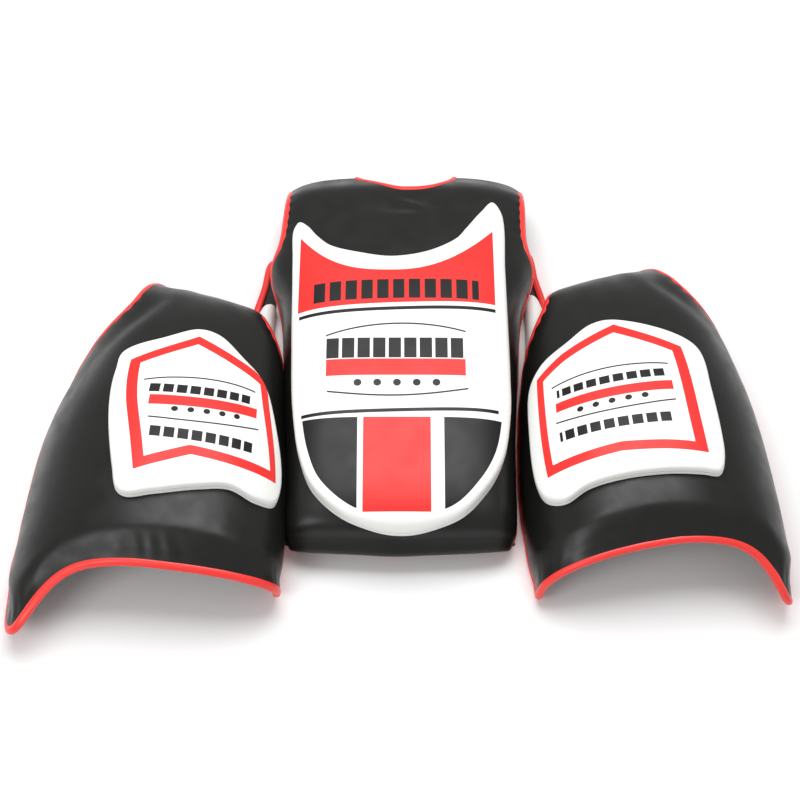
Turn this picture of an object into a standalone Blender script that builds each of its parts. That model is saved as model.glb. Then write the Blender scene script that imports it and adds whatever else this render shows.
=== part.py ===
"""Coach's belly pad with its two matching thigh pads, laid out on a table with their front faces up.

X runs across the set, Y from the hems to the shoulders, and Z up from the table. Each pad is a curved
sandwich: a leather cover, a foam core and a lining, bound along its edges, with a raised pad on its front
and webbing straps that close across the hollow behind it.
"""

import math
from collections import namedtuple

import bmesh
import bpy
from mathutils import Matrix, Vector

# Skins and layers, in metres, measured inwards from a pad's outer face.
GAP = 0.0008
LEATHER = 0.002
LINING = 0.0015
EDGE_THICKNESS = 0.0075
BINDING_RADIUS = 0.0045
BINDING_GAP = 0.0020
RAISED_GAP = 0.0038

# Webbing, and the rings that it is threaded through.
WEBBING = 0.0014
RING_BAR = 0.0017
RING_LENGTH = 0.024
RING_CLEARANCE = 0.004
RING_Z = 0.0045
CURL = RING_BAR + 0.0004 + WEBBING / 2

# Each strap's width, how far back its keeper is sewn down, how far on its band is sewn down, and the
# length of its loose end. The thigh straps' names and their places up the pad follow.
Strap = namedtuple("Strap", "width root reach tab")
SHOULDER_STRAP = Strap(0.050, 0.085, 0.212, 0.070)
WAIST_STRAP = Strap(0.080, 0.106, 0.166, 0.065)
THIGH_STRAP = Strap(0.050, 0.088, 0.184, 0.085)
THIGH_STRAPS = (("lower", 0.120), ("upper", 0.225))
KEEPER_RETURN = 0.028
BAND_START = 0.0038
LOOP_HALF = 0.083
LOOP_WIDTH = 0.040
LOOP_UP = 0.385
LOOP_HEIGHT = 0.030

# How finely a pad's faces are divided, across and along.
ACROSS = 12
ALONG = 12
RAISED_CELLS = 12

# Each row is one section of a pad: its place along the pad, the middle of its arch, the height of its
# crest, its half width, the height of its edges and how square its arch is (2 is an ellipse).
THIGH_SECTIONS = (
    (0.000, 0.008, 0.120, 0.156, 0.012, 2.2),
    (0.040, 0.006, 0.141, 0.160, 0.012, 2.2),
    (0.140, 0.002, 0.147, 0.164, 0.012, 2.2),
    (0.240, -0.005, 0.141, 0.158, 0.014, 2.2),
    (0.330, -0.006, 0.124, 0.141, 0.036, 2.2),
    (0.400, -0.004, 0.100, 0.116, 0.048, 2.4),
    (0.438, 0.000, 0.072, 0.082, 0.044, 3.0),
    (0.456, 0.000, 0.026, 0.066, 0.018, 3.0),
)
BELLY_SECTIONS = (
    (0.000, 0.000, 0.022, 0.142, 0.012, 3.4),
    (0.004, 0.000, 0.060, 0.150, 0.012, 4.2),
    (0.034, 0.000, 0.088, 0.155, 0.012, 4.2),
    (0.150, 0.000, 0.104, 0.156, 0.012, 4.2),
    (0.270, 0.001, 0.110, 0.158, 0.012, 4.2),
    (0.365, 0.002, 0.109, 0.164, 0.013, 3.8),
    (0.430, 0.003, 0.105, 0.182, 0.020, 3.2),
    (0.490, 0.005, 0.098, 0.176, 0.032, 3.0),
    (0.552, 0.007, 0.084, 0.171, 0.038, 3.0),
    (0.590, 0.008, 0.056, 0.166, 0.034, 3.0),
)

# A pad's place on the table: x and y of its hem, the angle that its top is turned clockwise, the side
# of it that faces the belly pad, how far the crest leans to that side at the hem, how far the hem is cut
# back on that side and drawn out on the other, how far the top is cut on a slant, and the foam.
Pad = namedtuple("Pad", "sections x y turn side lean cut_back drawn_out top_slant foam")
BELLY = Pad(BELLY_SECTIONS, 0.0, -0.2385, 0, 1, 0.0, 0.022, -0.022, 0.0, 0.034)
LEFT = Pad(THIGH_SECTIONS, -0.355, -0.2885, 9, 1, 0.034, 0.035, 0.080, -0.020, 0.028)
RIGHT = Pad(THIGH_SECTIONS, 0.357, -0.2605, -9, -1, 0.0, -0.010, 0.075, -0.015, 0.028)

# The neck is scooped out of the belly pad's top edge: its depth and its half width in surface measure.
NECK_DEPTH = 0.11
NECK_HALF = 1 / 3

# The shield on the belly pad, as plan measures from the middle of the hem.
SHIELD_HALF = 0.143
SHIELD_FOOT = 0.008
SHIELD_ROUND = 0.17
SHIELD_NECK = 0.414
SHIELD_HORNS = {-1: 0.080, 1: 0.104}
SHIELD_HEIGHT = 0.022

# The badge on each thigh pad, in surface measures: its outer side at the foot and at the shoulder, its
# inner side, its foot, its shoulders and its apex.
Badge = namedtuple("Badge", "outer_foot outer_shoulder inner foot shoulder apex apex_at")
BADGES = {
    "left": Badge(-0.17, -0.29, 0.68, 0.205, 0.495, 0.59, -0.22),
    "right": Badge(-0.27, -0.31, 0.68, 0.205, 0.490, 0.565, -0.16),
}
BADGE_HEIGHT = 0.015

# In a raised pad the skin's inner face and the foam block are its outline shrunk by these shares, the
# block starts this far up, and both rise mostly straight up.
RAISED_SKIN = 0.974
RAISED_BLOCK = 0.95
RAISED_BASE = 0.0015
UPRIGHT = 0.7

# The rib wings lie flat beside the belly pad, hinged on a straight seam. Their widths are read from
# the bottom to the top, and the right wing sits a little higher than the left.
WING_SEAM = 0.179
WING_WIDTHS = ((0.046,), (0.050,), (0.040,), (0.030,), (0.018,))
WING_BOTTOM = {-1: 0.286, 1: 0.302}
WING_LENGTH = 0.116
WING_HEIGHT = 0.023
WING_BASE = 0.0024
WING_CROWN = 0.007
WING_INSET = 0.003
WING_FOAM_INSET = 0.0058

# The shoulder flaps: where each hangs along the fold, its half width there, how far under the fold it
# starts, its thickness and its height over the table.
FLAP_AT = 0.51
FLAP_HALF = 0.13
FLAP_DROP = 0.012
FLAP_THICKNESS = 0.014
FLAP_LIFT = 0.0036


def remove_everything():
    for thing in list(bpy.data.objects):
        bpy.data.objects.remove(thing, do_unlink=True)


def collection(name):
    made = bpy.data.collections.new(name)
    bpy.context.scene.collection.children.link(made)
    return made


def material(name, colour, roughness, metallic=0.0):
    made = bpy.data.materials.new(name)
    made.use_nodes = True
    shader = made.node_tree.nodes["Principled BSDF"]
    shader.inputs["Base Color"].default_value = (*colour, 1.0)
    shader.inputs["Roughness"].default_value = roughness
    shader.inputs["Metallic"].default_value = metallic
    return made


def add(name, mesh, finish, parts):
    """Turns a bmesh into a named object of the set, with its faces turned outwards."""
    bmesh.ops.recalc_face_normals(mesh, faces=mesh.faces)
    if mesh.calc_volume(signed=True) < 0:
        bmesh.ops.reverse_faces(mesh, faces=mesh.faces)
    data = bpy.data.meshes.new(name)
    mesh.to_mesh(data)
    mesh.free()
    data.materials.append(finish)
    made = bpy.data.objects.new(name, data)
    parts.objects.link(made)
    return made


def along(rows, t):
    """A smooth curve through the rows, read at t from 0 to 1."""
    spans = len(rows) - 1
    place = min(max(t, 0.0), 1.0) * spans
    i = min(int(place), spans - 1)
    f = place - i
    before = rows[i - 1] if i else [2 * p - q for p, q in zip(rows[0], rows[1])]
    after = rows[i + 2] if i + 2 <= spans else [2 * p - q for p, q in zip(rows[-1], rows[-2])]
    read = []
    for p0, p1, p2, p3 in zip(before, rows[i], rows[i + 1], after):
        bend = 2 * p0 - 5 * p1 + 4 * p2 - p3
        twist = 3 * p1 - p0 - 3 * p2 + p3
        read.append(0.5 * (2 * p1 + (p2 - p0) * f + bend * f**2 + twist * f**3))
    return read


def face(pad, a, t):
    """A point of the pad's outer face: a runs from edge to edge, -1 to 1, and t from hem to top, 0 to 1."""
    y, middle, crest, half, edge, square = along(pad.sections, t)
    across = math.sin(a * math.pi / 2)
    up = math.cos(a * math.pi / 2)
    reach = (abs(across) ** square + abs(up) ** square) ** (-1 / square)
    near_hem = (1 - t) ** 1.5
    x = middle + (half * across + pad.lean * (1 - t) ** 0.5 * up) * reach
    cut = pad.cut_back if a > 0 else -pad.drawn_out
    y += cut * near_hem * abs(a) ** 1.5 + pad.top_slant * a * t**3
    z = edge + (crest - edge) * reach * up
    cos, sin = math.cos(math.radians(pad.turn)), math.sin(math.radians(pad.turn))
    x *= pad.side
    return Vector((pad.x + cos * x + sin * y, pad.y - sin * x + cos * y, z))


def outwards(pad, a, t):
    """The direction straight out of the pad's outer face."""
    step = 0.004
    low, high = max(t - step, 0.0), min(t + step, 1.0)
    across = face(pad, a + step, t) - face(pad, a - step, t)
    lengthways = face(pad, a, high) - face(pad, a, low)
    return (across.cross(lengthways) * pad.side).normalized()


def inside(pad, a, t, depth):
    """The point at this depth under the outer face; a negative depth stands proud of it."""
    return face(pad, a, t) - outwards(pad, a, t) * depth


def ease(x):
    x = min(max(x, 0.0), 1.0)
    return x * x * (3 - 2 * x)


def thickness(pad, a, t):
    """The whole sandwich: thin along the bound edges, full where the foam is."""
    full = (1 - abs(a) ** 6) * ease(t / 0.32) * ease((1 - t) / 0.36)
    return EDGE_THICKNESS + (pad.foam - EDGE_THICKNESS) * full


def surface_under(pad, x, y):
    """The surface measures (a, t) below a plan point, found by stepping towards it."""
    a, t = 0.0, 0.5
    cos, sin = math.cos(math.radians(pad.turn)), math.sin(math.radians(pad.turn))
    for _ in range(60):
        miss = Vector((x, y, 0)) - face(pad, a, t)
        a += 2.4 * (cos * miss.x - sin * miss.y) * pad.side
        t += 1.1 * (sin * miss.x + cos * miss.y)
        a, t = min(max(a, -0.98), 0.98), min(max(t, 0.01), 0.99)
    return a, t


def slab(name, across, lengthways, outer, inner, finish, parts):
    """A closed slab between two faces, each a function of grid measures from -1 to 1."""
    mesh = bmesh.new()
    bmesh.ops.create_grid(mesh, x_segments=across, y_segments=lengthways, size=1.0)
    near = list(mesh.verts)
    grown = bmesh.ops.extrude_face_region(mesh, geom=list(mesh.faces), use_keep_orig=True)
    far = [item for item in grown["geom"] if isinstance(item, bmesh.types.BMVert)]
    for vert in near:
        vert.co = inner(vert.co.x, vert.co.y)
    for vert in far:
        vert.co = outer(vert.co.x, vert.co.y)
    return add(name, mesh, finish, parts)


def tube(name, points, radius, sides, finish, parts, cyclic=False):
    """A round cord or wire along the points."""
    data = bpy.data.curves.new(name, "CURVE")
    data.dimensions = "3D"
    data.bevel_depth = radius
    data.bevel_resolution = (sides - 4) // 2
    data.use_fill_caps = not cyclic
    spline = data.splines.new("POLY")
    spline.points.add(len(points) - 1)
    for knot, point in zip(spline.points, points):
        knot.co = (*point, 1.0)
    spline.use_cyclic_u = cyclic
    data.materials.append(finish)
    made = bpy.data.objects.new(name, data)
    parts.objects.link(made)
    return made


def strip(name, profile, width, place, finish, parts, pivot=None):
    """Flat webbing: its side view, as (distance, height) pairs, carried across its width and thickened."""
    mesh = bmesh.new()
    row = [mesh.verts.new((s, -width / 2, z)) for s, z in profile]
    edges = [mesh.edges.new(pair) for pair in zip(row, row[1:])]
    grown = bmesh.ops.extrude_edge_only(mesh, edges=edges)
    moved = [item for item in grown["geom"] if isinstance(item, bmesh.types.BMVert)]
    bmesh.ops.translate(mesh, verts=moved, vec=(0, width, 0))
    start = Vector(pivot) if pivot else Vector()
    bmesh.ops.translate(mesh, verts=mesh.verts, vec=-start)
    made = add(name, mesh, finish, parts)
    made.matrix_world = place @ Matrix.Translation(start)
    thick = made.modifiers.new("thickness", "SOLIDIFY")
    thick.thickness = WEBBING
    thick.offset = 0
    thick.use_even_offset = True
    return made


def clipped(pad, a, t):
    """Grid measures -1 to 1 made surface measures, with the neck scooped out of the belly pad's top."""
    t = (t + 1) / 2
    if pad is BELLY:
        t *= 1 - NECK_DEPTH * max(1 - (a / NECK_HALF) ** 2, 0)
    return a, t


def sandwich(name, pad, black, foam, cloth, parts):
    """The cover, the foam core and the lining of one pad, each a skin of the one before."""

    def layer(start, end, part, finish):
        def at(depth):
            def point(p, q):
                a, t = clipped(pad, p, q)
                return inside(pad, a, t, depth(thickness(pad, a, t)))

            return point

        slab(f"{name}_{part}", ACROSS, ALONG, at(start), at(end), finish, parts)

    layer(lambda whole: 0.0, lambda whole: LEATHER, "cover", black)
    layer(lambda whole: LEATHER + GAP, lambda whole: whole - LINING - 2 * GAP, "foam", foam)
    layer(lambda whole: whole - LINING, lambda whole: whole, "lining", cloth)


def beside(pad, a, t, over_side, over_end):
    """The middle of a binding that runs just off the pad's edge, off its side, its end or both. All round
    the belly pad it runs right under the edge."""
    reach = BINDING_RADIUS + BINDING_GAP
    middle = EDGE_THICKNESS / 2
    point = inside(pad, a, t, middle)
    if pad is BELLY and t < 1 and not (over_end and t > 0):
        return Vector((point.x, point.y, face(pad, a, t).z - reach))
    place = point.copy()
    if over_side:
        place += (point - inside(pad, a * 0.96, t, middle)).normalized() * reach
    if over_end:
        inner_t = t + 0.01 if t < 0.5 else t - 0.01
        place += (point - inside(pad, a, inner_t, middle)).normalized() * reach
    return place


def edge_binding(name, pad, top, red, parts):
    """One tape round both sides and the hem, starting this many divisions up each side."""
    steps = [i / ALONG for i in range(top, 0, -1)]
    hem = [-1 + 2 * i / ACROSS for i in range(1, ACROSS)]
    route = [beside(pad, -1, t, True, False) for t in steps] + [beside(pad, -1, 0, True, True)]
    route += [beside(pad, a, 0, False, True) for a in hem] + [beside(pad, 1, 0, True, True)]
    route += [beside(pad, 1, t, True, False) for t in reversed(steps)]
    tube(name, route, BINDING_RADIUS, 6, red, parts)


def neck_binding(red, parts):
    """The tape along the scooped neck, between the shoulders."""
    steps = [2 * i / ACROSS for i in range(-2, 3)]
    route = [beside(BELLY, *clipped(BELLY, a, 1), False, True) for a in steps]
    tube("belly_neck_binding", route, BINDING_RADIUS, 6, red, parts)


def raised_pad(name, pad, outline, height, white, foam, parts):
    """A leather cap over a foam block on a pad's face. The outline turns grid measures from -1 to 1 into
    surface measures, and the block rises mostly straight up."""
    cells = RAISED_CELLS
    crown = 1 - 2 / cells
    middle = Vector(outline(0, 0))

    def spot(p, q, shrink, depth):
        a, t = middle.lerp(Vector(outline(p, q)), shrink)
        rise = (outwards(pad, a, t) * (1 - UPRIGHT) + Vector((0, 0, UPRIGHT))).normalized()
        return inside(pad, a, t, -RAISED_GAP) + rise * depth

    def cap(shrink, depth):
        def point(p, q):
            rim = max(abs(p), abs(q)) > crown + 0.01
            low, high = min(max(p / crown, -1), 1), min(max(q / crown, -1), 1)
            return spot(low, high, shrink, 0 if rim else depth)

        return point

    def block(depth):
        return lambda p, q: spot(p, q, RAISED_BLOCK, depth)

    skin = cap(RAISED_SKIN, height - LEATHER)
    slab(f"{name}_cover", cells, cells, cap(1.0, height), skin, white, parts)
    top = height - LEATHER - 2 * GAP
    slab(f"{name}_foam", cells - 2, cells - 2, block(top), block(RAISED_BASE), foam, parts)


def shield_outline(p, q):
    """A shield with a rounded foot, and two horns beside a hollow top edge."""
    x = SHIELD_HALF * p
    foot = SHIELD_FOOT + SHIELD_ROUND * (1 - math.sqrt(max(1 - p * p, 0.0)))
    horn = SHIELD_HORNS[1 if p > 0 else -1]
    top = SHIELD_NECK + horn * abs(p) ** 2.6
    return surface_under(BELLY, BELLY.x + x, BELLY.y + foot + (top - foot) * ((q + 1) / 2) ** 1.35)


def badge_outline(badge):
    def outline(p, q):
        """A five-sided badge: nearly upright sides, sloping shoulders and a rounded apex."""
        up = (q + 1) / 2
        outer = badge.outer_foot + (badge.outer_shoulder - badge.outer_foot) * up
        slope = (abs(p - badge.apex_at) / (1 + abs(badge.apex_at))) ** 1.5
        top = badge.apex - (badge.apex - badge.shoulder) * slope
        return outer + (badge.inner - outer) * (p + 1) / 2, badge.foot + (top - badge.foot) * up

    return outline


def shoulder_flap(name, side, black, parts):
    """The end of a shoulder, hanging from the fold down to the table."""

    def at(depth):
        def point(p, q):
            start = face(BELLY, side * (FLAP_AT + FLAP_HALF * p), 1.0)
            top = start.z - FLAP_DROP
            down = (1 - q) / 2
            tuck = depth + 0.006 * down**2
            return Vector((start.x, start.y - tuck, top - (top - FLAP_LIFT) * down))

        return point

    slab(name, 4, 4, at(0), at(FLAP_THICKNESS), black, parts)


def wing(side_name, side, white, black, foam, parts):
    """A padded white wing on a thin black base, lying flat with its seam along the belly pad."""
    pivot = Vector((side * WING_SEAM, 0, WING_BASE / 2))
    hinge = bpy.data.objects.new(f"{side_name}_rib_wing_hinge", None)
    hinge.location = pivot
    parts.objects.link(hinge)

    def plan(p, q, inset):
        up = (q + 1) / 2
        y = BELLY.y + WING_BOTTOM[side] + inset + (WING_LENGTH - 2 * inset) * up
        width = along(WING_WIDTHS, up)[0]
        x = side * (WING_SEAM + inset + max(width - 2 * inset, 0.002) * (p + 1) / 2)
        return x, y

    def at(inset, level, crown=0.0):
        def point(p, q):
            x, y = plan(p, q, inset)
            round_off = crown * (1 - (1 - p**4) * (1 - q**4))
            return Vector((x, y, level - round_off)) - pivot

        return point

    foot = WING_BASE + GAP
    crown = 1 - 2 / 8

    def cap(inset, level):
        def point(p, q):
            rim = max(abs(p), abs(q)) > crown + 0.01
            across, up = (min(max(v / crown, -1), 1) for v in (p, q))
            x, y = plan(across, up, inset)
            fall = WING_CROWN * (1 - (1 - across**4) * (1 - up**4))
            return Vector((x, y, foot if rim else level - fall)) - pivot

        return point

    name = f"{side_name}_rib_wing"
    base = slab(f"{name}_base", 4, 6, at(0, WING_BASE), at(0, 0.0002), black, parts)
    outer = cap(WING_INSET, WING_HEIGHT)
    skin = cap(WING_INSET + LEATHER, WING_HEIGHT - LEATHER)
    cover = slab(f"{name}_cover", 8, 8, outer, skin, white, parts)
    top = at(WING_FOAM_INSET, WING_HEIGHT - LEATHER - 2 * GAP, WING_CROWN + 0.001)
    block = slab(f"{name}_foam", 6, 6, top, at(WING_FOAM_INSET, foot), foam, parts)
    for made in (base, cover, block):
        made.parent = hinge


def rounded_ring(width):
    """The corners of a rectangular ring's centre line, each turned in three steps."""
    corner = 0.004
    half = width / 2 + RING_CLEARANCE
    points = []
    for x, y, start in ((RING_LENGTH, half, 0), (0, half, 90), (0, -half, 180), (RING_LENGTH, -half, 270)):
        middle_x = x - corner if x else corner
        middle_y = y - math.copysign(corner, y)
        for step in range(4):
            angle = math.radians(start + step * 30)
            points.append((middle_x + corner * math.cos(angle), middle_y + corner * math.sin(angle), 0.0))
    return points


def closure(name, place, strap, webbing, steel, parts):
    """One strap across a hollow: a keeper sewn at its root, the ring it holds, a band sewn at the far
    side, and the band's loose end, which is threaded through the ring and folded back on itself."""
    width = strap.width
    low, high = RING_Z - CURL, RING_Z + CURL
    turns = [math.radians(-90 + 30 * i) for i in range(7)]
    curl = [(CURL * math.cos(v), RING_Z + CURL * math.sin(v)) for v in turns]
    keeper = [(-strap.root, low)] + curl + [(-KEEPER_RETURN, high)]
    strip(f"{name}_keeper", keeper, width, place, webbing, parts)
    hinge = bpy.data.objects.new(f"{name}_ring_hinge", None)
    hinge.matrix_world = place @ Matrix.Translation((0, 0, RING_Z))
    parts.objects.link(hinge)
    ring = tube(f"{name}_ring", rounded_ring(width), RING_BAR, 6, steel, parts, cyclic=True)
    ring.parent = hinge
    bar = RING_LENGTH
    tab = [(bar + 0.002, low)] + [(bar - s, z) for s, z in curl] + [(bar + strap.tab, high)]
    strip(f"{name}_tab", tab, width, place, webbing, parts, pivot=(bar, 0, RING_Z))
    band = [(bar + BAND_START, low), (strap.reach, low)]
    strip(f"{name}_band", band, width, place, webbing, parts)


def local_place(pad, x, y, angle=0.0):
    """Where a point of a pad's own plan lies on the table, with the X axis turned by the angle."""
    cos, sin = math.cos(math.radians(pad.turn)), math.sin(math.radians(pad.turn))
    x *= pad.side
    spot = Vector((pad.x + cos * x + sin * y, pad.y - sin * x + cos * y, 0))
    return Matrix.Translation(spot) @ Matrix.Rotation(math.radians(angle), 4, "Z")


def thigh_pad(side, pad, finishes, parts):
    black, foam, cloth, red, white, webbing, steel = finishes
    name = f"{side}_thigh"
    sandwich(name, pad, black, foam, cloth, parts)
    edge_binding(f"{name}_binding", pad, ALONG - 2, red, parts)
    raised_pad(f"{name}_badge", pad, badge_outline(BADGES[side]), BADGE_HEIGHT, white, foam, parts)
    towards_belly = -pad.turn if pad.side > 0 else 180 - pad.turn
    for strap, y in THIGH_STRAPS:
        place = local_place(pad, -0.045, y, towards_belly)
        closure(f"{name}_{strap}", place, THIGH_STRAP, webbing, steel, parts)
    place = local_place(pad, 0.0, LOOP_UP, -pad.turn)
    flat = [(-LOOP_HALF, LOOP_HEIGHT), (LOOP_HALF, LOOP_HEIGHT)]
    strip(f"{name}_belt_loop", flat, LOOP_WIDTH, place, webbing, parts)


def main():
    remove_everything()
    parts = collection("trainer belly pad")
    finishes = (
        material("black leather", (0.022, 0.022, 0.020), 0.42),
        material("foam", (0.55, 0.55, 0.50), 0.95),
        material("black lining", (0.03, 0.03, 0.03), 0.85),
        material("red binding", (0.80, 0.05, 0.04), 0.45),
        material("white leather", (0.86, 0.87, 0.84), 0.40),
        material("black webbing", (0.02, 0.02, 0.02), 0.80),
        material("nickel wire", (0.70, 0.70, 0.68), 0.25, 1.0),
    )
    black, foam, cloth, red, white, webbing, steel = finishes
    sandwich("belly", BELLY, black, foam, cloth, parts)
    edge_binding("belly_edge_binding", BELLY, ALONG - 1, red, parts)
    neck_binding(red, parts)
    raised_pad("belly_shield", BELLY, shield_outline, SHIELD_HEIGHT, white, foam, parts)
    for side_name, side in (("left", -1), ("right", 1)):
        shoulder_flap(f"{side_name}_shoulder_flap", side, black, parts)
        wing(side_name, side, white, black, foam, parts)
        ring_at = Matrix.Translation((side * 0.075, BELLY.y + 0.367, 0))
        place = ring_at @ Matrix.Rotation(math.radians(90), 4, "Z")
        closure(f"{side_name}_shoulder_strap", place, SHOULDER_STRAP, webbing, steel, parts)
    place = Matrix.Translation((-0.030, BELLY.y + 0.205, 0))
    closure("waist_strap", place, WAIST_STRAP, webbing, steel, parts)
    thigh_pad("left", LEFT, finishes, parts)
    thigh_pad("right", RIGHT, finishes, parts)


main()
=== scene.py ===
"""A coach's belly pad with its two thigh pads, laid out on a table: the looks of each piece."""

import math
from collections import namedtuple

import bpy
import numpy as np
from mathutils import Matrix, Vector


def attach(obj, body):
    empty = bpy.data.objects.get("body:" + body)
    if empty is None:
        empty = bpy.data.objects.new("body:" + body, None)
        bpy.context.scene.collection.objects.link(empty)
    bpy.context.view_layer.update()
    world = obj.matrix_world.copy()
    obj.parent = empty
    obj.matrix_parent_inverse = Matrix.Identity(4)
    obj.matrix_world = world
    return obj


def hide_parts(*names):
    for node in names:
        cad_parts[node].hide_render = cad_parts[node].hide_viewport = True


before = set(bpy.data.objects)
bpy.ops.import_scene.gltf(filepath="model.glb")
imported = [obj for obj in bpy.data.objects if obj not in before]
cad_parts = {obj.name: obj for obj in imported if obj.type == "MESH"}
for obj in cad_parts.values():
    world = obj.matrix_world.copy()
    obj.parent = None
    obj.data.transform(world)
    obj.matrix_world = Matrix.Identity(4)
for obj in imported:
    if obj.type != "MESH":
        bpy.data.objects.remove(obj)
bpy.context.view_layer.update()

# ---------------------------------------------------------------------------------------------------
# The belly pad's cover: one skin of smooth black synthetic leather, stretched over the foam from the
# hem to the shoulders. It is sewn in along its edges, and the neck is scooped out of its top.

Pad = namedtuple("Pad", "rows x y turn side lean cut_back drawn_out top_slant foam inner outer open dip")
# A row is one section: its place up the pad, the middle of its arch, the height of its crest, its half
# width, the height of its edges and how square its arch is (2 is an ellipse).
BELLY_ROWS = np.array(
    [
        (0.000, 0.000, 0.022, 0.142, 0.012, 3.4),
        (0.004, 0.000, 0.060, 0.150, 0.012, 4.2),
        (0.034, 0.000, 0.088, 0.155, 0.012, 4.2),
        (0.150, 0.000, 0.104, 0.156, 0.012, 4.2),
        (0.270, 0.001, 0.110, 0.163, 0.012, 4.2),
        (0.365, 0.002, 0.109, 0.170, 0.013, 3.8),
        (0.430, 0.003, 0.105, 0.192, 0.020, 3.2),
        (0.490, 0.005, 0.098, 0.190, 0.032, 3.0),
        (0.555, 0.007, 0.089, 0.188, 0.038, 3.0),
        (0.596, 0.008, 0.062, 0.187, 0.034, 3.0),
    ]
)
BELLY = Pad(BELLY_ROWS, 0.0, -0.2385, 0, 1, 0.0, 0.022, -0.022, 0.0, 0.034, 0.0, 0.0, 0.40, 0.0)
HEM_TUCK = 0.027
HEM_TUCK_REACH = 0.05
HEM_BULGE = 0.010
HEM_BULGE_REACH = 0.035
SHOULDER_DROP = 0.020
DIP_AT = 0.72
DIP_REACH = 0.21
NECK_DEPTH = 0.11
NECK_HALF = 0.40
LEATHER = 0.002
LINING = 0.0015
EDGE_THICKNESS = 0.0075
GAP = 0.0004
GRAIN_DEPTH = 0.0003
BLACK = (0.0075, 0.0075, 0.0068, 1.0)


def smooth(low, high, x):
    """0 below low and 1 above high, with the cubic 3x^2 - 2x^3 between them."""
    x = np.clip((x - low) / (high - low), 0, 1)
    return x * x * (3 - 2 * x)


def rows_at(rows, t):
    """The rows' values at t from 0 to 1, on the Catmull-Rom cubic through them."""
    spans = len(rows) - 1
    place = np.clip(t, 0, 1) * spans
    i = np.minimum(place.astype(int), spans - 1)
    f = (place - i)[..., None]
    longer = np.vstack([2 * rows[0] - rows[1], rows, 2 * rows[-1] - rows[-2]])
    p0, p1, p2, p3 = longer[i], longer[i + 1], longer[i + 2], longer[i + 3]
    bend = 2 * p0 - 5 * p1 + 4 * p2 - p3
    return 0.5 * (2 * p1 + (p2 - p0) * f + bend * f**2 + (3 * p1 - p0 - 3 * p2 + p3) * f**3)


def face(pad, a, t):
    """The pad's outer face. a goes from edge to edge, -1 to 1, and t from hem to top, 0 to 1. Each section
    is a superellipse: across = sin, up = cos, both times (|sin|^n + |cos|^n)^(-1/n). Towards the top the
    arch stops short of upright, and towards the hem each side flares. The belly pad's hem tucks under a low
    bulge and its shoulders drop, and a thigh pad's hem dips beside its outer corner."""
    a, t = np.broadcast_arrays(np.asarray(a, float), np.asarray(t, float))
    y, middle, crest, half, edge, square = np.moveaxis(rows_at(pad.rows, t), -1, 0)
    angle = a * math.pi / 2 * (1 - pad.open * smooth(0.5, 0.75, t))
    across, up = np.sin(angle), np.cos(angle)
    reach = (np.abs(across) ** square + np.abs(up) ** square) ** (-1 / square)
    down = 1 - np.clip(t, 0, 1)
    half = half * (1 + np.where(a > 0, pad.inner, pad.outer) * down**2.2)
    x = pad.side * (middle + (half * across + pad.lean * down**0.5 * up) * reach)
    cut = np.where(a > 0, pad.cut_back, -pad.drawn_out)
    y = y + cut * down**1.5 * np.abs(a) ** 1.5 + pad.top_slant * a * t**3
    if pad is BELLY:
        y = y + HEM_TUCK * (1 - a**4) * (1 - smooth(0, HEM_TUCK_REACH, t)) - SHOULDER_DROP * a**4 * t**5
        y = y - HEM_BULGE * (1 - a**4) * np.exp(-(((t - HEM_TUCK_REACH) / HEM_BULGE_REACH) ** 2))
    y = y - pad.dip * down**1.5 * np.exp(-(((a + DIP_AT) / DIP_REACH) ** 2))
    z = edge + (crest - edge) * reach * up
    cos, sin = math.cos(math.radians(pad.turn)), math.sin(math.radians(pad.turn))
    return np.stack([pad.x + cos * x + sin * y, pad.y - sin * x + cos * y, z], -1)


def outwards(pad, a, t):
    """The unit normal of the face: the cross product of its steps across and along."""
    step = 0.002
    across = face(pad, a + step, t) - face(pad, a - step, t)
    along = face(pad, a, np.minimum(t + step, 1)) - face(pad, a, np.maximum(t - step, 0))
    normal = np.cross(across, along) * pad.side
    return normal / np.linalg.norm(normal, axis=-1, keepdims=True)


def ripple(a, t, seed):
    """Slow undulations from -1 to 1: a sum of crossed sine waves with set phases."""
    phases = np.random.default_rng(seed).uniform(0, 6.28, 8)
    total = np.zeros(np.broadcast(a, t).shape)
    for k, phase in enumerate(phases):
        total += np.sin((1.3 + 0.9 * k) * (a * math.cos(k) + 2.2 * t * math.sin(k)) * 2.4 + phase) / 8
    return total * 1.6


def belly_relief(a, t):
    """How far the leather stands off the plain face: undulations, puckers along the sewn sides that die away
    over a tenth of the width, and two short wrinkles under the neck."""
    sides = np.exp(-(1 - np.abs(a)) / 0.07) * np.sin(150 * t + 3 * np.sin(23 * t))
    creases = np.exp(-(((t - 0.80 - 0.16 * a**2) / 0.012) ** 2)) * np.exp(-((a / 0.16) ** 2))
    creases += np.exp(-(((t - 0.84 + 0.1 * a) / 0.010) ** 2)) * np.exp(-(((a - 0.06) / 0.12) ** 2))
    return 0.0007 * ripple(a, t, 3) + 0.0005 * sides - 0.0012 * creases


def skin(pad, relief, a, t):
    """The face with its relief: the point, moved along the normal by the relief."""
    normal = outwards(pad, a, t)
    return face(pad, a, t) + normal * relief(a, t)[..., None], normal


def thickness(pad, a, t):
    """The whole sandwich: thin along the bound edges, full where the foam is."""
    full = (1 - np.abs(a) ** 6) * smooth(0, 0.32, t) * smooth(0, 0.36, 1 - t)
    return EDGE_THICKNESS + (pad.foam - EDGE_THICKNESS) * full


def neck_line(a):
    """The top edge's place, which dips for the neck by 1 - (a / half)^n: gently on the left, steeply on the right."""
    power = np.where(a < 0, 1.7, 3.2)
    return 1 - NECK_DEPTH * np.maximum(1 - np.abs(a / NECK_HALF) ** power, 0)


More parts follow.
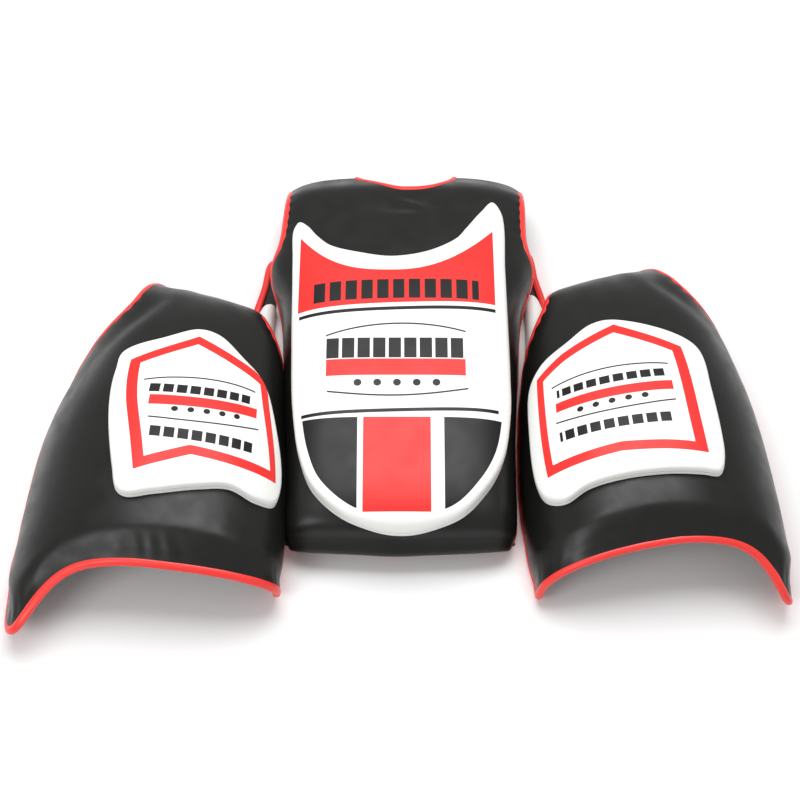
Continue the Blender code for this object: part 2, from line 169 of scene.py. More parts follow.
def pad_grid(pad, columns, rows):
    """Surface measures on a grid, with the neck taken out of the belly pad's top edge."""
    a, t = np.meshgrid(np.linspace(-1, 1, columns), np.linspace(0, 1, rows))
    if pad is BELLY:
        t = t * neck_line(a)
    return a, t


def solid(name, points, faces, smooth_angle=50):
    """A mesh object from points and faces, with every face turned outwards by its signed volume."""
    mesh = bpy.data.meshes.new(name)
    mesh.from_pydata(points.tolist(), [], faces)
    mesh.calc_loop_triangles()
    corners = np.empty(len(mesh.loop_triangles) * 3, np.int32)
    mesh.loop_triangles.foreach_get("vertices", corners)
    if np.linalg.det(points[corners.reshape(-1, 3)] - points.mean(0)).sum() < 0:
        mesh.flip_normals()
    mesh.shade_smooth()
    mesh.set_sharp_from_angle(angle=math.radians(smooth_angle))
    piece = bpy.data.objects.new(name, mesh)
    bpy.context.scene.collection.objects.link(piece)
    return piece


def closed_slab(name, outer, inner, smooth_angle=50):
    """A closed solid between two grids of points, joined by a wall round their rims."""
    rows, columns = outer.shape[:2]
    at = np.arange(rows * columns).reshape(rows, columns)
    top = np.stack([at[:-1, :-1], at[:-1, 1:], at[1:, 1:], at[1:, :-1]], -1).reshape(-1, 4)
    rim = np.concatenate([at[0], at[1:, -1], at[-1, -2::-1], at[-2:0:-1, 0]])
    following = np.roll(rim, -1)
    below = rows * columns
    wall = np.stack([following, rim, rim + below, following + below], -1)
    faces = np.concatenate([top, top[:, ::-1] + below, wall])
    points = np.concatenate([outer.reshape(-1, 3), inner.reshape(-1, 3)])
    return solid(name, points, faces.tolist(), smooth_angle)


def socket(group, name, direction, value=None):
    """A number's input or output on the outside of a node group."""
    made = group.interface.new_socket(name, in_out=direction, socket_type="NodeSocketFloat")
    if value is not None:
        made.default_value = value


def node(tree, kind, place=None, **settings):
    """A new node. Settings are its properties, and place fills its inputs in order."""
    made = tree.nodes.new(kind)
    for key, value in settings.items():
        setattr(made, key, value)
    for i, value in enumerate(place or ()):
        if isinstance(value, bpy.types.NodeSocket):
            tree.links.new(value, made.inputs[i])
        elif value is not None:
            made.inputs[i].default_value = value
    return made


def maths(tree, operation, *values):
    """The result of one sum on numbers or sockets."""
    return node(tree, "ShaderNodeMath", values, operation=operation).outputs[0]


def spread(tree, value, low, high, first, last):
    """A number taken from low..high to first..last in a straight line."""
    made = node(tree, "ShaderNodeMapRange")
    tree.links.new(value, made.inputs[0])
    for i, number in enumerate((low, high, first, last), 1):
        made.inputs[i].default_value = number
    return made.outputs[0]


def bumped(tree, shader, height, strength, distance):
    """Turns the shader's normal by a height."""
    bump = node(tree, "ShaderNodeBump")
    bump.inputs["Strength"].default_value = strength
    bump.inputs["Distance"].default_value = distance
    tree.links.new(height, bump.inputs["Height"])
    tree.links.new(bump.outputs[0], shader.inputs["Normal"])


def hide_grain_group():
    """Grain of coated leather: small cells for the height, and slow blotches for the tone."""
    group = bpy.data.node_groups.new("hide grain", "ShaderNodeTree")
    socket(group, "Cells per metre", "INPUT", value=900.0)
    socket(group, "Height", "OUTPUT")
    socket(group, "Tone", "OUTPUT")
    given = group.nodes.new("NodeGroupInput").outputs
    made = group.nodes.new("NodeGroupOutput")
    where = group.nodes.new("ShaderNodeTexCoord").outputs["Object"]
    cells = node(group, "ShaderNodeTexVoronoi", feature="SMOOTH_F1")
    group.links.new(where, cells.inputs["Vector"])
    group.links.new(given["Cells per metre"], cells.inputs["Scale"])
    slow = node(group, "ShaderNodeTexNoise")
    group.links.new(where, slow.inputs["Vector"])
    slow.inputs["Scale"].default_value = 34.0
    slow.inputs["Detail"].default_value = 4.0
    group.links.new(cells.outputs["Distance"], made.inputs["Height"])
    group.links.new(slow.outputs[0], made.inputs["Tone"])
    return group


HIDE_GRAIN = hide_grain_group()


def hide(name, colour, rough_low, rough_high, cells, bump, coat=0.0, gloss=0.5):
    """Leather: one colour, a grain bump and a roughness that drifts between two values."""
    finish = bpy.data.materials.new(name)
    finish.use_nodes = True
    tree = finish.node_tree
    shader = tree.nodes["Principled BSDF"]
    shader.inputs["Base Color"].default_value = colour
    shader.inputs["Coat Weight"].default_value = coat
    shader.inputs["Coat Roughness"].default_value = 0.25
    shader.inputs["Specular IOR Level"].default_value = gloss
    grain = node(tree, "ShaderNodeGroup", [cells], node_tree=HIDE_GRAIN)
    roughness = spread(tree, grain.outputs["Tone"], 0.35, 0.65, rough_low, rough_high)
    tree.links.new(roughness, shader.inputs["Roughness"])
    bumped(tree, shader, grain.outputs["Height"], bump, GRAIN_DEPTH)
    return finish, tree, shader


BLACK_LEATHER = hide("black leather", BLACK, 0.30, 0.42, 1100, 0.10, gloss=0.36)[0]


def fit(piece, material, slot, body, *nodes, fill=None):
    """Gives a piece its finish and the body it moves with, and hides the CAD nodes it stands for."""
    piece.data.materials.append(material)
    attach(piece, body)
    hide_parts(*nodes)
    return piece


def pad_layers(pad, relief, columns, rows):
    """What a pad's layers are laid by, on one grid: the skin's points, its normals and the whole thickness.
    The point at a depth is the skin's point less the normal times the depth."""
    a, t = pad_grid(pad, columns, rows)
    top, normal = skin(pad, relief, a, t)
    return top, normal, thickness(pad, a, t)[..., None]


belly_top, belly_out, belly_whole = pad_layers(BELLY, belly_relief, 241, 301)
belly_cover = closed_slab("belly_pad_cover", belly_top, belly_top - belly_out * LEATHER)
fit(belly_cover, BLACK_LEATHER, "black_leather", "belly_pad", "belly_cover", fill=0.9)

# ---------------------------------------------------------------------------------------------------
# The belly pad's inside: a block of closed-cell foam, thinned towards the edges, and a black woven
# lining sewn in behind it, which lies against the wearer.

FOAM_COLOUR = (0.52, 0.52, 0.47, 1.0)
LINING_COLOUR = (0.016, 0.016, 0.017, 1.0)
WEAVE_DEPTH = 0.0004
# The share of the cloth's colour left in the painted shade between its threads.
SHADE_BETWEEN_THREADS = 0.6


def weave_group():
    """Woven cloth: the sum of three sets of sine ribs, one square to each axis."""
    group = bpy.data.node_groups.new("weave", "ShaderNodeTree")
    socket(group, "Threads per metre", "INPUT", value=900.0)
    socket(group, "Height", "OUTPUT")
    given = group.nodes.new("NodeGroupInput").outputs
    made = group.nodes.new("NodeGroupOutput")
    where = group.nodes.new("ShaderNodeTexCoord").outputs["Object"]
    split = node(group, "ShaderNodeSeparateXYZ", [where]).outputs
    ribs = [maths(group, "SINE", maths(group, "MULTIPLY", split[axis], given[0])) for axis in range(3)]
    total = maths(group, "ADD", maths(group, "ADD", ribs[0], ribs[1]), ribs[2])
    group.links.new(total, made.inputs[0])
    return group


WEAVE = weave_group()


def cloth(name, colour, roughness, threads, bump):
    """Matt woven cloth: one colour with the weave as a bump, and painted shade between its threads, where the colour
    is darker.
    """
    finish = bpy.data.materials.new(name)
    finish.use_nodes = True
    tree = finish.node_tree
    shader = tree.nodes["Principled BSDF"]
    shader.inputs["Roughness"].default_value = roughness
    shader.inputs["Sheen Weight"].default_value = 0.15
    height = node(tree, "ShaderNodeGroup", [threads], node_tree=WEAVE).outputs[0]
    mixed = node(tree, "ShaderNodeMix", data_type="RGBA")
    tree.links.new(spread(tree, height, -1.5, 1.5, 0.0, 1.0), mixed.inputs[0])
    # Painted shade: the colour darkens where the weave is low, between the threads.
    mixed.inputs[6].default_value = tuple(SHADE_BETWEEN_THREADS * c for c in colour[:3]) + (1.0,)
    mixed.inputs[7].default_value = colour
    tree.links.new(mixed.outputs[2], shader.inputs["Base Color"])
    bumped(tree, shader, height, bump, WEAVE_DEPTH)
    return finish


FOAM = hide("foam", FOAM_COLOUR, 0.9, 1.0, 700, 0.5)[0]
LINING_CLOTH = cloth("black lining", LINING_COLOUR, 0.85, 3500, 0.5)


def inner_layers(name, top, normal, whole, body):
    """The foam between the cover and the lining, and the lining, on every third point of the cover's grid."""
    rows = np.unique(np.append(np.arange(0, top.shape[0], 3), top.shape[0] - 1))
    columns = np.unique(np.append(np.arange(0, top.shape[1], 3), top.shape[1] - 1))
    top, normal, whole = (part[np.ix_(rows, columns)] for part in (top, normal, whole))
    foam_top = top - normal * (LEATHER + GAP)
    foam_low = top - normal * (whole - LINING - GAP)
    lining_top = top - normal * (whole - LINING)
    lining_low = top - normal * whole
    block = closed_slab(f"{name}_foam_core", foam_top, foam_low)
    fit(block, FOAM, "foam", body, f"{name}_foam", fill=1.0)
    back = closed_slab(f"{name}_back_lining", lining_top, lining_low)
    fit(back, LINING_CLOTH, "black_lining", body, f"{name}_lining")


inner_layers("belly", belly_top, belly_out, belly_whole, "belly_pad")

# ---------------------------------------------------------------------------------------------------
# The belly pad's bindings: a folded tape of bright red synthetic leather, sewn over the raw edges round
# both arm openings and the hem, and a second one along the neck. A line of stitches sinks into it.

TAPE_HALF_WIDTH = 0.0060
TAPE_HALF_HEIGHT = 0.0050
TAPE_GROOVE = 0.0012
TAPE_OFF_EDGE = 0.0012
TAPE_POINTS = 28
SIDE_TAPE_TOP = 0.985
RED = (0.86, 0.035, 0.028, 1.0)


def even_walk(points, count, closed=False):
    """The points of a path taken again at even steps of its length."""
    path = np.vstack([points, points[:1]]) if closed else points
    lengths = np.append(0, np.cumsum(np.linalg.norm(np.diff(path[:, :3], axis=0), axis=1)))
    at = np.linspace(0, lengths[-1], count, endpoint=not closed)
    return np.stack([np.interp(at, lengths, column) for column in path.T], 1)


def softened(values, reach):
    """Each value averaged with its neighbours under a raised-cosine window; the ends stay where they are."""
    window = 0.5 - 0.5 * np.cos(np.linspace(0, 2 * math.pi, 2 * reach + 3)[1:-1])
    window /= window.sum()
    before = 2 * values[0] - values[reach:0:-1]
    after = 2 * values[-1] - values[-2 : -reach - 2 : -1]
    longer = np.vstack([before, values, after])
    return np.stack([np.convolve(column, window, "valid") for column in longer.T], 1)


def carried(name, path, ups, section, closed=False):
    """A solid made by carrying a closed section along a path. At each point the section lies in the plane
    across the path: its first measure along tangent x up, its second along up made square to the path."""
    if closed:
        tangents = np.roll(path, -1, axis=0) - np.roll(path, 1, axis=0)
    else:
        tangents = np.gradient(path, axis=0)
    tangents /= np.linalg.norm(tangents, axis=1, keepdims=True)
    aside = np.cross(tangents, ups)
    aside /= np.linalg.norm(aside, axis=1, keepdims=True)
    upright = np.cross(aside, tangents)
    section = np.asarray(section)
    if section.ndim == 2:
        section = np.broadcast_to(section, (len(path), *section.shape))
    rings = path[:, None] + aside[:, None] * section[..., :1] + upright[:, None] * section[..., 1:]
    count, around = rings.shape[:2]
    at = np.arange(count * around).reshape(count, around)
    beside = np.roll(at, -1, axis=1)
    if closed:
        ahead, ahead_beside = np.roll(at, -1, axis=0), np.roll(beside, -1, axis=0)
        quads = np.stack([at, beside, ahead_beside, ahead], -1).reshape(-1, 4).tolist()
    else:
        quads = np.stack([at[:-1], beside[:-1], beside[1:], at[1:]], -1).reshape(-1, 4).tolist()
        quads += [at[0, ::-1].tolist(), at[-1].tolist()]
    return solid(name, rings.reshape(-1, 3), quads)


def tape_section():
    """The folded tape: a superellipse of exponent 2.6, with a groove on both faces where it is sewn down."""
    angle = np.linspace(0, 2 * math.pi, TAPE_POINTS, endpoint=False)
    cos, sin = np.cos(angle), np.sin(angle)
    reach = (np.abs(cos) ** 2.6 + np.abs(sin) ** 2.6) ** (-1 / 2.6)
    x, y = TAPE_HALF_WIDTH * cos * reach, TAPE_HALF_HEIGHT * sin * reach
    sunk = TAPE_GROOVE * np.exp(-(((x + 0.55 * TAPE_HALF_WIDTH) / 0.0009) ** 2))
    return np.stack([x, y - np.sign(y) * sunk], 1)


def edge_path(pad, relief, a, t):
    """The middle of the tape: half the edge's thickness in, and moved a little off the edge. The way off
    the edge is the point minus one a little further in, made unit length."""
    middle = EDGE_THICKNESS / 2
    here, normal = skin(pad, relief, a, t)
    here = here - normal * middle
    inner_t = np.where(t < 0.5, np.maximum(t, 0.02), np.minimum(t, 0.98))
    inner, _ = skin(pad, relief, a * 0.97, inner_t)
    off = here - (inner - outwards(pad, a * 0.97, inner_t) * middle)
    off /= np.linalg.norm(off, axis=1, keepdims=True)
    return here + off * TAPE_OFF_EDGE, normal


def sewn_tape(name, pad, relief, a, t, node_name, body, rounding=9):
    """A tape along surface measures that follow an edge, its corners rounded by softening."""
    joined = even_walk(np.hstack(edge_path(pad, relief, a, t)), len(a))
    joined = softened(joined, rounding)
    tape = carried(name, joined[:, :3], -joined[:, 3:], tape_section())
    return fit(tape, RED_TAPE, "red_binding", body, node_name)


def round_three_sides(count=220):
    """Surface measures down the left side, along the hem and up the right side."""
    side, hem = np.linspace(SIDE_TAPE_TOP, 0, count), np.linspace(-1, 1, count)
    a = np.concatenate([-np.ones(count), hem[1:-1], np.ones(count)])
    t = np.concatenate([side, np.zeros(count - 2), side[::-1]])
    return a, t


RED_TAPE = hide("red binding", RED, 0.34, 0.46, 1300, 0.15, coat=0.1)[0]
a, t = round_three_sides()
sewn_tape("belly_side_tape", BELLY, belly_relief, a, t, "belly_edge_binding", "belly_pad")
a = np.linspace(-NECK_HALF, NECK_HALF, 160)
t = neck_line(a)
sewn_tape("belly_neck_tape", BELLY, belly_relief, a, t, "belly_neck_binding", "belly_pad", rounding=6)

# ---------------------------------------------------------------------------------------------------
# The shield: a white raised pad sewn onto the belly pad's front, with a hollow top edge between two
# horns and a rounded foot. Red and black panels are printed on it, with rows of plain bars and dots.

SHIELD_OUTLINE = (
    (-0.142, 0.480),
    (-0.150, 0.467),
    (-0.150, 0.420),
    (-0.149, 0.366),
    (-0.147, 0.269),
    (-0.143, 0.174),
    (-0.131, 0.099),
    (-0.112, 0.055),
    (-0.066, 0.016),
    (0.004, 0.003),
    (0.074, 0.018),
    (0.112, 0.055),
    (0.136, 0.101),
    (0.147, 0.167),
    (0.148, 0.224),
    (0.147, 0.314),
    (0.146, 0.397),
    (0.144, 0.495),
    (0.131, 0.514),
    (0.114, 0.494),
    (0.091, 0.459),
    (0.078, 0.441),
    (0.040, 0.418),
    (-0.011, 0.408),
    (-0.055, 0.415),
    (-0.095, 0.429),
    (-0.115, 0.449),
    (-0.130, 0.471),
)
SHIELD_HEIGHT = 0.0262
SHIELD_CROWN = 0.0015
OUTLINE_LIFT = 0.020
EDGE_ROUND = 0.0070
BELOW_SEAM = 0.10
WHITE = (0.88, 0.89, 0.86, 1.0)
PRINT_RED = (0.84, 0.030, 0.026, 1.0)
PRINT_BLACK = (0.006, 0.006, 0.006, 1.0)


def loop_through(points, count):
    """An even walk round the closed centripetal Catmull-Rom curve through the points."""
    points = np.asarray(points, float)
    ring = [np.roll(points, k, axis=0)[:, None] for k in (1, 0, -1, -2)]
    gaps = [np.sqrt(np.linalg.norm(q - p, axis=-1, keepdims=True)) for p, q in zip(ring, ring[1:])]
    k1, k2, k3 = gaps[0], gaps[0] + gaps[1], gaps[0] + gaps[1] + gaps[2]
    k = k1 + (k2 - k1) * np.linspace(0, 1, 60, endpoint=False)[None, :, None]
    first = (k1 - k) / k1 * ring[0] + k / k1 * ring[1]
    second = (k2 - k) / (k2 - k1) * ring[1] + (k - k1) / (k2 - k1) * ring[2]
    third = (k3 - k) / (k3 - k2) * ring[2] + (k - k2) / (k3 - k2) * ring[3]
    low = (k2 - k) / k2 * first + k / k2 * second
    high = (k3 - k) / (k3 - k1) * second + (k - k1) / (k3 - k1) * third
    curve = (k2 - k) / (k2 - k1) * low + (k - k1) / (k2 - k1) * high
    return even_walk(curve.reshape(-1, 2), count, closed=True)


def distance_to(outline, points):
    """The distance of each point to the nearest side of a closed outline, negative outside it."""
    starts, ends = outline, np.roll(outline, -1, axis=0)
    sides = ends - starts
    result = np.empty(len(points))
    for part in np.array_split(np.arange(len(points)), max(1, len(points) // 4000)):
        to = points[part, None] - starts
        along = np.clip((to * sides).sum(-1) / (sides**2).sum(-1), 0, 1)
        away = np.linalg.norm(to - sides * along[..., None], axis=-1).min(1)
        y, x = points[part, None, 1], points[part, None, 0]
        spans = (starts[:, 1] > y) != (ends[:, 1] > y)
        rise = np.where(np.abs(sides[:, 1]) < 1e-12, 1e-12, sides[:, 1])
        crosses = spans & (x < starts[:, 0] + sides[:, 0] * (y - starts[:, 1]) / rise)
        result[part] = np.where(crosses.sum(1) % 2 == 1, away, -away)
    return result


def rising(pad, a, t, height):
    """The point this high over the pad's face, straight up by seven parts and along the normal by three."""
    way = outwards(pad, a, t) * 0.3 + np.array([0, 0, 0.7])
    way /= np.linalg.norm(way, axis=-1, keepdims=True)
    return face(pad, a, t) + way * np.asarray(height)[..., None]


def under(pad, plan):
    """The surface measures whose point at the outline's height stands at a plan point, by Newton steps."""
    a, t = plan[:, 0] / 0.2, 0.03 + plan[:, 1] / 0.62
    step = 1e-4

    def plan_of(a, t):
        return rising(pad, a, t, np.full(a.shape, OUTLINE_LIFT))[:, :2] - (pad.x, pad.y)

    for _ in range(32):
        here = plan_of(a, t)
        by_a = (plan_of(a + step, t) - plan_of(a - step, t)) / (2 * step)
        by_t = (plan_of(a, t + step) - plan_of(a, t - step)) / (2 * step)
        miss = plan - here
        size = by_a[:, 0] * by_t[:, 1] - by_a[:, 1] * by_t[:, 0]
        size = np.where(np.abs(size) < 1e-4, 1e-4, size)
        a = a + np.clip((miss[:, 0] * by_t[:, 1] - miss[:, 1] * by_t[:, 0]) / size, -0.03, 0.03)
        t = t + np.clip((by_a[:, 0] * miss[:, 1] - by_a[:, 1] * miss[:, 0]) / size, -0.02, 0.02)
        a, t = np.clip(a, -0.985, 0.985), np.clip(t, 0.002, 0.998)
    return a, t


def ring_stack(name, rings, smooth_angle=60):
    """A closed solid from rings of points, with one more point in the middle of the first and of the last."""
    count, around = rings.shape[:2]
    at = np.arange(count * around).reshape(count, around)
    beside = np.roll(at, -1, axis=1)
    quads = np.stack([at[:-1], beside[:-1], beside[1:], at[1:]], -1).reshape(-1, 4).tolist()
    first, last = count * around, count * around + 1
    quads += [[first, q, p] for p, q in zip(at[0].tolist(), beside[0].tolist())]
    quads += [[last, p, q] for p, q in zip(at[-1].tolist(), beside[-1].tolist())]
    points = np.concatenate([rings.reshape(-1, 3), rings[:1].mean(1), rings[-1:].mean(1)])
    return solid(name, points, quads, smooth_angle)


# The wall of a raised pad, from its rounded edge down: how far it stands out, and how high as a share of
# the height. The stitched seam makes the groove.
WALL = ((0.0004, 0.62), (0.0010, 0.50), (0.0007, 0.42), (-0.0012, 0.36), (-0.0016, 0.33))
WALL += ((0.0000, 0.28), (0.0014, 0.20), (0.0014, 0.10), (0.0004, 0.02), (-0.0010, -BELOW_SEAM))


def raised_rings(outline, centre, height, edge_round, crown):
    """Rings of (x, y, height) for a raised pad: inner rings scale the outline about its centre and rise by a
    quarter circle over their distance to it, then a soft crown; outer ones follow the wall; the last close it."""
    scales = np.concatenate([np.linspace(0.03, 0.90, 34), np.linspace(0.91, 1.0, 22)])
    flat = (centre + scales[:, None, None] * (outline - centre)).reshape(-1, 2)
    inside = np.maximum(distance_to(outline, flat), 0).reshape(len(scales), -1)
    short = np.maximum(edge_round - inside, 0)
    rise = height - edge_round + np.sqrt(np.maximum(edge_round**2 - short**2, 0))
    rise = rise + crown * (1 - np.exp(-inside / 0.03)) - crown
    rings = [np.dstack([flat.reshape(len(scales), -1, 2), rise])]
    along = np.roll(outline, -1, axis=0) - np.roll(outline, 1, axis=0)
    off = np.stack([along[:, 1], -along[:, 0]], 1) / np.linalg.norm(along, axis=1, keepdims=True)
    if distance_to(outline, outline[:1] + off[:1] * 0.001)[0] > 0:
        off = -off
    for out, share in WALL:
        level = np.full((1, len(outline), 1), share * (height - crown))
        rings.append(np.dstack([(outline + off * out)[None], level]))
    for scale in (0.9, 0.5, 0.1):
        level = np.full((1, len(outline), 1), -BELOW_SEAM * height)
        rings.append(np.dstack([(centre + scale * (outline - centre))[None], level]))
    return np.concatenate(rings)


def mark(piece, name, values):
    """Writes one number a point into an attribute of the mesh that its material reads."""
    layer = piece.data.attributes.new(name, "FLOAT", "POINT")
    layer.data.foreach_set("value", np.asarray(values, np.float32))


def with_ends(values):
    """Numbers for a ring stack's points: each ring's own, then the means of the first and the last ring."""
    return np.append(values.reshape(-1), [values[0].mean(), values[-1].mean()])


def ink_group():
    """One printed band as a mask: within Half of Middle across, and within half of Thick of a line that starts
    at Height, tilts by Tilt and bows by Bow x (1 - u^2). Pitch and Duty cut it into bars."""
    group = bpy.data.node_groups.new("ink band", "ShaderNodeTree")
    for name in ("U", "V", "Middle", "Half", "Height", "Thick", "Tilt", "Bow", "Pitch", "Duty"):
        socket(group, name, "INPUT", value=1.0)
    socket(group, "Mask", "OUTPUT")
    given = group.nodes.new("NodeGroupInput").outputs
    made = group.nodes.new("NodeGroupOutput")
    off = maths(group, "SUBTRACT", given["U"], given["Middle"])
    share = maths(group, "DIVIDE", off, given["Half"])
    within = maths(group, "LESS_THAN", maths(group, "ABSOLUTE", share), 1.0)
    round_off = maths(group, "SUBTRACT", 1.0, maths(group, "MULTIPLY", share, share))
    line = maths(group, "ADD", given["Height"], maths(group, "MULTIPLY", off, given["Tilt"]))
    line = maths(group, "ADD", line, maths(group, "MULTIPLY", round_off, given["Bow"]))
    away = maths(group, "ABSOLUTE", maths(group, "SUBTRACT", given["V"], line))
    near = maths(group, "LESS_THAN", away, maths(group, "MULTIPLY", given["Thick"], 0.5))
    bars = maths(group, "DIVIDE", maths(group, "ADD", off, given["Half"]), given["Pitch"])
    kept = maths(group, "LESS_THAN", maths(group, "FRACT", bars), given["Duty"])
    mask = maths(group, "MULTIPLY", maths(group, "MULTIPLY", within, near), kept)
    group.links.new(mask, made.inputs[0])
    return group


INK = ink_group()
WHOLE = (10.0, 2.0)  # the pitch and duty of a band that isn't cut


def reads(tree, name):
    """A number that the mesh carries at its points."""
    return node(tree, "ShaderNodeAttribute", attribute_name=name).outputs["Fac"]


def printed(tree, shader, bands, extra_black=(), extra_red=(), cut=None):
    """White leather with ink: every band's mask joined by maximum into a red and a black one, then mixed over
    the white. A band is (ink, middle, half, height, thick, tilt, bow, pitch, duty)."""
    u, v = reads(tree, "print_u"), reads(tree, "print_v")
    masks = {"red": list(extra_red), "black": list(extra_black)}
    for ink, *values in bands:
        band = node(tree, "ShaderNodeGroup", [u, v, *values], node_tree=INK)
        masks[ink].append(band.outputs[0])
    colour = None
    for ink, paint in (("red", PRINT_RED), ("black", PRINT_BLACK)):
        total = masks[ink][0]
        for more in masks[ink][1:]:
            total = maths(tree, "MAXIMUM", total, more)
        if cut is not None:
            total = maths(tree, "MULTIPLY", total, cut)
        mixed = node(tree, "ShaderNodeMix", data_type="RGBA")
        tree.links.new(total, mixed.inputs[0])
        mixed.inputs[7].default_value = paint
        if colour is None:
            mixed.inputs[6].default_value = WHITE
        else:
            tree.links.new(colour, mixed.inputs[6])
        colour = mixed.outputs[2]
    tree.links.new(colour, shader.inputs["Base Color"])


def dot_mask(tree, first, pitch, count, height, tilt, radius):
    """A row of round dots: the distance to the nearest of evenly spaced middles is under the radius."""
    u, v = reads(tree, "print_u"), reads(tree, "print_v")
    off = maths(tree, "SUBTRACT", u, first)
    place = maths(tree, "DIVIDE", off, pitch)
    nearest = maths(tree, "MINIMUM", maths(tree, "MAXIMUM", maths(tree, "ROUND", place), 0.0), count - 1.0)
    aside = maths(tree, "SUBTRACT", off, maths(tree, "MULTIPLY", nearest, pitch))
    line = maths(tree, "ADD", maths(tree, "MULTIPLY", off, tilt), height)
    up = maths(tree, "SUBTRACT", v, line)
    square = maths(tree, "ADD", maths(tree, "MULTIPLY", aside, aside), maths(tree, "MULTIPLY", up, up))
    return maths(tree, "LESS_THAN", square, radius**2)


# The shield is sewn on before the hem is turned under, so it lies on the belly pad's face without its
# tuck, carried a little past the hem.
SEAT_ROWS = BELLY_ROWS.copy()
SEAT_ROWS[0] = (-0.020, 0.0, 0.030, 0.148, 0.012, 4.2)
SEAT = BELLY._replace(rows=SEAT_ROWS)
SHIELD_MIDDLE = (0.0, 0.23)
shield_line = loop_through(SHIELD_OUTLINE, 520)
shield_rings = raised_rings(shield_line, np.array(SHIELD_MIDDLE), SHIELD_HEIGHT, EDGE_ROUND, SHIELD_CROWN)
plan = shield_rings[..., :2].reshape(-1, 2)
a, t = under(SEAT, plan)
rings = rising(SEAT, a, t, shield_rings[..., 2].reshape(-1)).reshape(shield_rings.shape)
shield = ring_stack("belly_shield_pad", rings)
mark(shield, "print_u", with_ends(shield_rings[..., 0]))
mark(shield, "print_v", with_ends(shield_rings[..., 1]))
on_top = distance_to(shield_line, plan).reshape(shield_rings.shape[:2])
mark(shield, "inset", with_ends(on_top))

finish, tree, shader = hide("printed white shield", WHITE, 0.36, 0.44, 1100, 0.06, gloss=0.32)
u, v, inset = reads(tree, "print_u"), reads(tree, "print_v"), reads(tree, "inset")


def between(tree, low, x, high):
    """A mask of low < x < high."""
    return maths(tree, "MULTIPLY", maths(tree, "GREATER_THAN", x, low), maths(tree, "LESS_THAN", x, high))


# The red field under the hollow edge: its top line rises from the middle to each side by a power of the
# way across, more steeply on the left, and its low line bows upwards.
FIELD_MIDDLE = 0.011
FIELD_SIDES = (-0.138, 0.129)
off = maths(tree, "ADD", u, FIELD_MIDDLE)
right = maths(tree, "GREATER_THAN", off, 0.0)
reach = maths(tree, "ADD", 0.127, maths(tree, "MULTIPLY", right, 0.013))
rise = maths(tree, "ADD", 0.064, maths(tree, "MULTIPLY", right, 0.010))
power = maths(tree, "SUBTRACT", 3.0, maths(tree, "MULTIPLY", right, 0.7))
curve = maths(tree, "POWER", maths(tree, "DIVIDE", maths(tree, "ABSOLUTE", off), reach), power)
top_line = maths(tree, "ADD", 0.380, maths(tree, "MULTIPLY", rise, curve))
share = maths(tree, "DIVIDE", maths(tree, "ADD", u, 0.004), 0.134)
bow = maths(tree, "MULTIPLY", 0.004, maths(tree, "MULTIPLY", share, share))
low_line = maths(tree, "SUBTRACT", maths(tree, "ADD", 0.3245, maths(tree, "MULTIPLY", u, 0.041)), bow)
sides = between(tree, FIELD_SIDES[0], u, FIELD_SIDES[1])
field = maths(tree, "MULTIPLY", between(tree, low_line, v, top_line), sides)
# The two black panels at the foot: inside the white border, either side of the red stripe.
WHITE_BORDER = 0.0125
PANEL_TOP = 0.1485
STRIPE_SIDES = (-0.048, 0.040)
STRIPE_FOOT = 0.021
bordered = maths(tree, "GREATER_THAN", inset, WHITE_BORDER)
foot = maths(tree, "MULTIPLY", bordered, maths(tree, "LESS_THAN", v, PANEL_TOP))
aside = maths(tree, "ABSOLUTE", maths(tree, "SUBTRACT", u, 0.001))
panels = maths(tree, "MULTIPLY", foot, between(tree, 0.0565, aside, 0.2))
sides = between(tree, STRIPE_SIDES[0], u, STRIPE_SIDES[1])
stripe = maths(tree, "MULTIPLY", sides, between(tree, STRIPE_FOOT, v, PANEL_TOP))
dots = dot_mask(tree, -0.056, 0.026, 5, 0.199, 0.0, 0.0052)
SHIELD_BANDS = (
    ("black", -0.005, 0.112, 0.3445, 0.032, 0.02, 0.003, 0.0215, 0.72),
    ("black", -0.0035, 0.1325, 0.311, 0.0055, 0.038, 0.004, *WHOLE),
    ("black", -0.0055, 0.0935, 0.275, 0.0025, 0.03, 0.015, *WHOLE),
    ("black", -0.0055, 0.0925, 0.252, 0.031, 0.0, 0.0, 0.0207, 0.80),
    ("red", -0.0055, 0.0925, 0.2225, 0.025, 0.0, 0.0, *WHOLE),
    ("black", -0.003, 0.093, 0.189, 0.0025, 0.02, -0.009, *WHOLE),
    ("black", 0.000, 0.129, 0.1575, 0.005, 0.027, 0.001, *WHOLE),
)
INK_FROM_EDGE = 0.004
inked = maths(tree, "GREATER_THAN", inset, INK_FROM_EDGE)
printed(tree, shader, SHIELD_BANDS, [panels, dots], [field, stripe], inked)
fit(shield, finish, "white_leather", "belly_pad", "belly_shield_cover", "belly_shield_foam", fill=1.0)

# ---------------------------------------------------------------------------------------------------
# The thigh pads: two curved pads, each a sandwich of cover, foam and lining like the belly pad's. The
# padding ends a little above the hem, where a thin margin runs to the edge. Red tape binds them.

THIGH_ROWS = np.array(
    [
        (0.000, 0.008, 0.120, 0.156, 0.012, 2.2),
        (0.040, 0.006, 0.141, 0.160, 0.012, 2.2),
        (0.140, 0.002, 0.147, 0.164, 0.012, 2.2),
        (0.240, -0.005, 0.141, 0.158, 0.014, 2.2),
        (0.330, -0.006, 0.124, 0.139, 0.036, 2.2),
        (0.400, -0.004, 0.100, 0.114, 0.048, 2.4),
        (0.438, 0.000, 0.072, 0.087, 0.044, 3.0),
        (0.456, 0.000, 0.026, 0.069, 0.018, 3.0),
    ]
)
LEFT_ROWS = THIGH_ROWS.copy()
LEFT_ROWS[4:6, 1] = (0.001, 0.003)
LEFT_ROWS[4:6, 3] = (0.137, 0.112)
LEFT = Pad(LEFT_ROWS, -0.355, -0.2885, 9, 1, 0.034, 0.032, 0.040, -0.020, 0.028, 0.215, 0.035, 0.42, 0.065)
